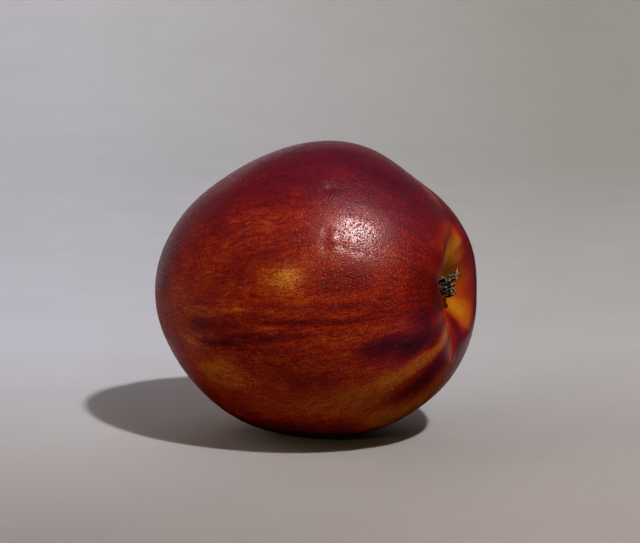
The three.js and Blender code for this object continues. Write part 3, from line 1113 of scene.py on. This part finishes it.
def build_camera():
    back = TOWARDS * math.cos(elevation) + UP * math.sin(elevation)
    camera_up = back.cross(RIGHT)
    data = bpy.data.cameras.new("camera")
    data.sensor_width = CAMERA_SENSOR
    data.lens = CAMERA_DISTANCE / MM * PIXELS_PER_MM * CAMERA_SENSOR / PICTURE_WIDTH
    camera = bpy.data.objects.new("camera", data)
    camera.location = middle + RIGHT * AIM_RIGHT + camera_up * AIM_UP + back * CAMERA_DISTANCE
    camera.rotation_mode = "QUATERNION"
    camera.rotation_quaternion = back.to_track_quat("Z", "Y")
    bpy.context.scene.collection.objects.link(camera)
    bpy.context.scene.camera = camera


# ---- Stage and light ----

FLOOR_IN_FRONT = 2.0
FLOOR_BEHIND = 0.5
SWEEP_RADIUS = 0.5
SWEEP_STEPS = 24
WALL_HEIGHT = 0.6
STAGE_HALF_WIDTH = 2.0
NEAR_SHEET_ENDS = 0.015
# Dark cards beside the fruit that stand in for a dark room, as painted dark reflections along its edges:
# (shade, their corners to the right, back and up).
FLAGS = [
    (0.03, [(0.06, 0.12, 0.0), (0.3, 0.0, 0.0), (0.3, 0.0, 0.07), (0.06, 0.12, 0.07)]),
    (0.18, [(-0.05, -0.02, 0.004), (-0.05, 0.1, 0.004), (-0.25, 0.16, 0.07), (-0.25, -0.12, 0.07)]),
]


def build_stage():
    paper = paper_material()
    curve = [(FLOOR_BEHIND, 0.0)]
    for step in range(1, SWEEP_STEPS + 1):
        turn = step / SWEEP_STEPS * math.pi / 2
        curve.append((FLOOR_BEHIND + SWEEP_RADIUS * math.sin(turn), SWEEP_RADIUS * (1 - math.cos(turn))))
    curve.append((FLOOR_BEHIND + SWEEP_RADIUS, WALL_HEIGHT))
    # The near sheet isn't mirrored in the skin, as if a dark room lay in front of the fruit.
    near = build_sheet("paper_near", [(-FLOOR_IN_FRONT, 0.0), (NEAR_SHEET_ENDS, 0.0)], paper)
    near.visible_glossy = False
    build_sheet("paper_far", [(NEAR_SHEET_ENDS, 0.0)] + curve, paper)


def build_flags():
    """Dark cards that only show mirrored along the fruit's edges: painted dark reflections, as a dark room
    would give.
    """
    for count, (shade, flag_corners) in enumerate(FLAGS):
        dark = Nodes(f"dark_card_{count}")
        dark.shade({"Base Color": (shade, shade, shade, 1)})
        corners = [RIGHT * right - TOWARDS * back + UP * up for right, back, up in flag_corners]
        flag = mesh_object(f"flag_{count}", corners, [(0, 1, 2, 3)])
        flag.data.materials.append(dark.material)
        flag.visible_camera = flag.visible_diffuse = flag.visible_shadow = flag.visible_transmission = False


def build_sheet(name, profile, material):
    """A sheet of paper right across the stage, along a profile of (depth, height)."""
    points, faces = [], []
    for depth, height in profile:
        for side in (-STAGE_HALF_WIDTH, STAGE_HALF_WIDTH):
            points.append(RIGHT * side - TOWARDS * depth + UP * height)
    for row in range(len(profile) - 1):
        faces.append((2 * row, 2 * row + 1, 2 * row + 3, 2 * row + 2))
    sheet = mesh_object(name, points, faces)
    sheet.data.materials.append(material)
    return sheet


# The paper's colours from 0.1 m in front of the fruit to 0.9 m behind it, to its left and to its right.
# They hold painted light and shade: brighter and bluer to the left behind the fruit, warmer to the right,
# and darker just in front of the fruit as a painted soft shadow.
PAPER_DEPTHS = (-0.1, 0.9)
PAPER_LEFT_PAINTED_LIGHT = [
    (0.0, (0.31, 0.28, 0.27)),
    (0.1, (0.475, 0.455, 0.465)),
    (0.2, (0.595, 0.595, 0.665)),
    (1.0, (0.70, 0.70, 0.725)),
]
PAPER_RIGHT_PAINTED_LIGHT = [
    (0.0, (0.385, 0.335, 0.305)),
    (0.1, (0.42, 0.39, 0.375)),
    (0.2, (0.52, 0.495, 0.48)),
    (1.0, (0.44, 0.43, 0.37)),
]
# The left turns into the right between two lines that fan out from a place in front of the fruit.
PAPER_FAN_IN_FRONT = 0.56
PAPER_FAN_SLOPES = (-0.1, 0.1)
PAPER_FAN_NEAREST = 0.3
PAPER_ROUGHNESS = 0.9
# Fibres and broad blotches grey it a little.
PAPER_FIBRES_PER_METRE = 2300.0
PAPER_FIBRE_SHARE = 0.75
PAPER_FIBRE_HEIGHT = 0.00015
PAPER_BLOTCHES_PER_METRE = 30.0
PAPER_BLOTCH_SHARE = 0.25
PAPER_GREY_RANGE = (0.3, 0.7)
PAPER_GREY_SHARES = (0.0, 0.24)
PAPER_GREY = (0.2, 0.19, 0.18, 1)
# The paper's painted glow starts and levels out at these distances from the fruit, and fades out over these
# depths.
GLOW_AWAY = (0.7, 1.8)
GLOW_STRENGTHS = (0.0, 0.2)
GLOW_DEPTHS = (0.2, 0.6)


def paper_material():
    n = Nodes("pale_paper")
    place = n.add("ShaderNodeTexCoord").outputs["Object"]
    depth = n.along(place, -TOWARDS)
    reach = n.math("MAXIMUM", n.math("ADD", depth, PAPER_FAN_IN_FRONT), PAPER_FAN_NEAREST)
    slope = n.math("DIVIDE", n.along(place, RIGHT), reach)
    # The paper's colour, with its painted light and shade by depth and from left to right.
    left = n.ramp(n.map_range(depth, *PAPER_DEPTHS), PAPER_LEFT_PAINTED_LIGHT)
    right = n.ramp(n.map_range(depth, *PAPER_DEPTHS), PAPER_RIGHT_PAINTED_LIGHT)
    paper = n.mix(n.map_range(slope, *PAPER_FAN_SLOPES), left, right)

    fibres = n.noise(place, PAPER_FIBRES_PER_METRE, detail=3.0, roughness=0.6)
    blotches = n.noise(place, PAPER_BLOTCHES_PER_METRE, detail=3.0, roughness=0.6)
    tone = n.math("ADD", n.scaled(fibres, PAPER_FIBRE_SHARE), n.scaled(blotches, PAPER_BLOTCH_SHARE))
    grey = n.map_range(tone, *PAPER_GREY_RANGE, *PAPER_GREY_SHARES)

    # Far from the fruit, to its sides and in front, the paper has a painted glow, standing in for the light
    # of a lit room.
    away = n.add("ShaderNodeVectorMath", {"Vector": place}, operation="LENGTH").outputs["Value"]
    glow = n.map_range(away, *GLOW_AWAY, *GLOW_STRENGTHS)
    glow = n.math("MULTIPLY", glow, n.map_range(depth, *GLOW_DEPTHS, 1.0, 0.0))
    n.shade({
        "Base Color": n.mix(grey, paper, PAPER_GREY),
        "Roughness": PAPER_ROUGHNESS,
        "Emission Color": paper,
        "Emission Strength": glow,
    })
    n.bump(fibres, strength=0.8, distance=PAPER_FIBRE_HEIGHT)
    return n.material


# Round soft lights: (name, direction to the right, towards the camera and up, distance, size, power,
# colour, what it leaves out). The key light is two: one lights the skin, and a broader one is its gloss.
LIGHTS = [
    ("key", (0.362, 0.498, 0.788), 1.2, 0.06, 11.2, (0.97, 0.97, 0.98), ["glossy"]),
    ("key_glow", (0.350, 0.508, 0.787), 1.2, 0.27, 14.4, (0.97, 0.97, 0.98), ["diffuse"]),
    ("back_fill", (0.1, -0.93, 0.36), 1.0, 0.8, 0.8, (1.0, 0.88, 0.82), ["glossy", "shadow"]),
    ("window_behind", (-0.1, -0.62, 0.78), 0.95, 0.9, 1.3, (0.8, 0.88, 1.0), ["glossy"]),
    ("soft_left", (-0.8, 0.1, 0.6), 1.0, 1.0, 2.1, (1.0, 0.9, 0.86), ["glossy"]),
    ("low_left_fill", (-0.456, 0.84, 0.30), 0.9, 0.07, 0.8, (1.0, 0.75, 0.38), []),
]
ROOM_COLOUR = (1.0, 0.84, 0.79, 1)
ROOM_STRENGTH = 0.07


def add_light(name, toward, distance, size, power, colour, without):
    """A round soft light in a direction from the fruit, aimed at it."""
    right, towards, up = toward
    direction = (RIGHT * right + TOWARDS * towards + UP * up).normalized()
    data = bpy.data.lights.new(name, "AREA")
    data.shape = "DISK"
    data.size = size
    data.energy = power
    data.color = colour
    data.use_shadow = "shadow" not in without
    light = bpy.data.objects.new(name, data)
    light.location = middle + direction * distance
    light.rotation_mode = "QUATERNION"
    light.rotation_quaternion = direction.to_track_quat("Z", "Y")
    light.visible_camera = False
    light.visible_glossy = "glossy" not in without
    light.visible_diffuse = "diffuse" not in without
    bpy.context.scene.collection.objects.link(light)


def build_lights():
    for light in LIGHTS:
        add_light(*light)
    world = bpy.data.worlds.new("soft_room")
    bpy.context.scene.world = world
    world.use_nodes = True
    background = world.node_tree.nodes["Background"]
    background.inputs["Color"].default_value = ROOM_COLOUR
    background.inputs["Strength"].default_value = ROOM_STRENGTH
    world.cycles_visibility.glossy = False
    view = bpy.context.scene.view_settings
    view.view_transform = "Standard"
    view.look = "Medium High Contrast"


build_camera()
build_stage()
build_flags()
build_lights()
build_skin()
build_stub()
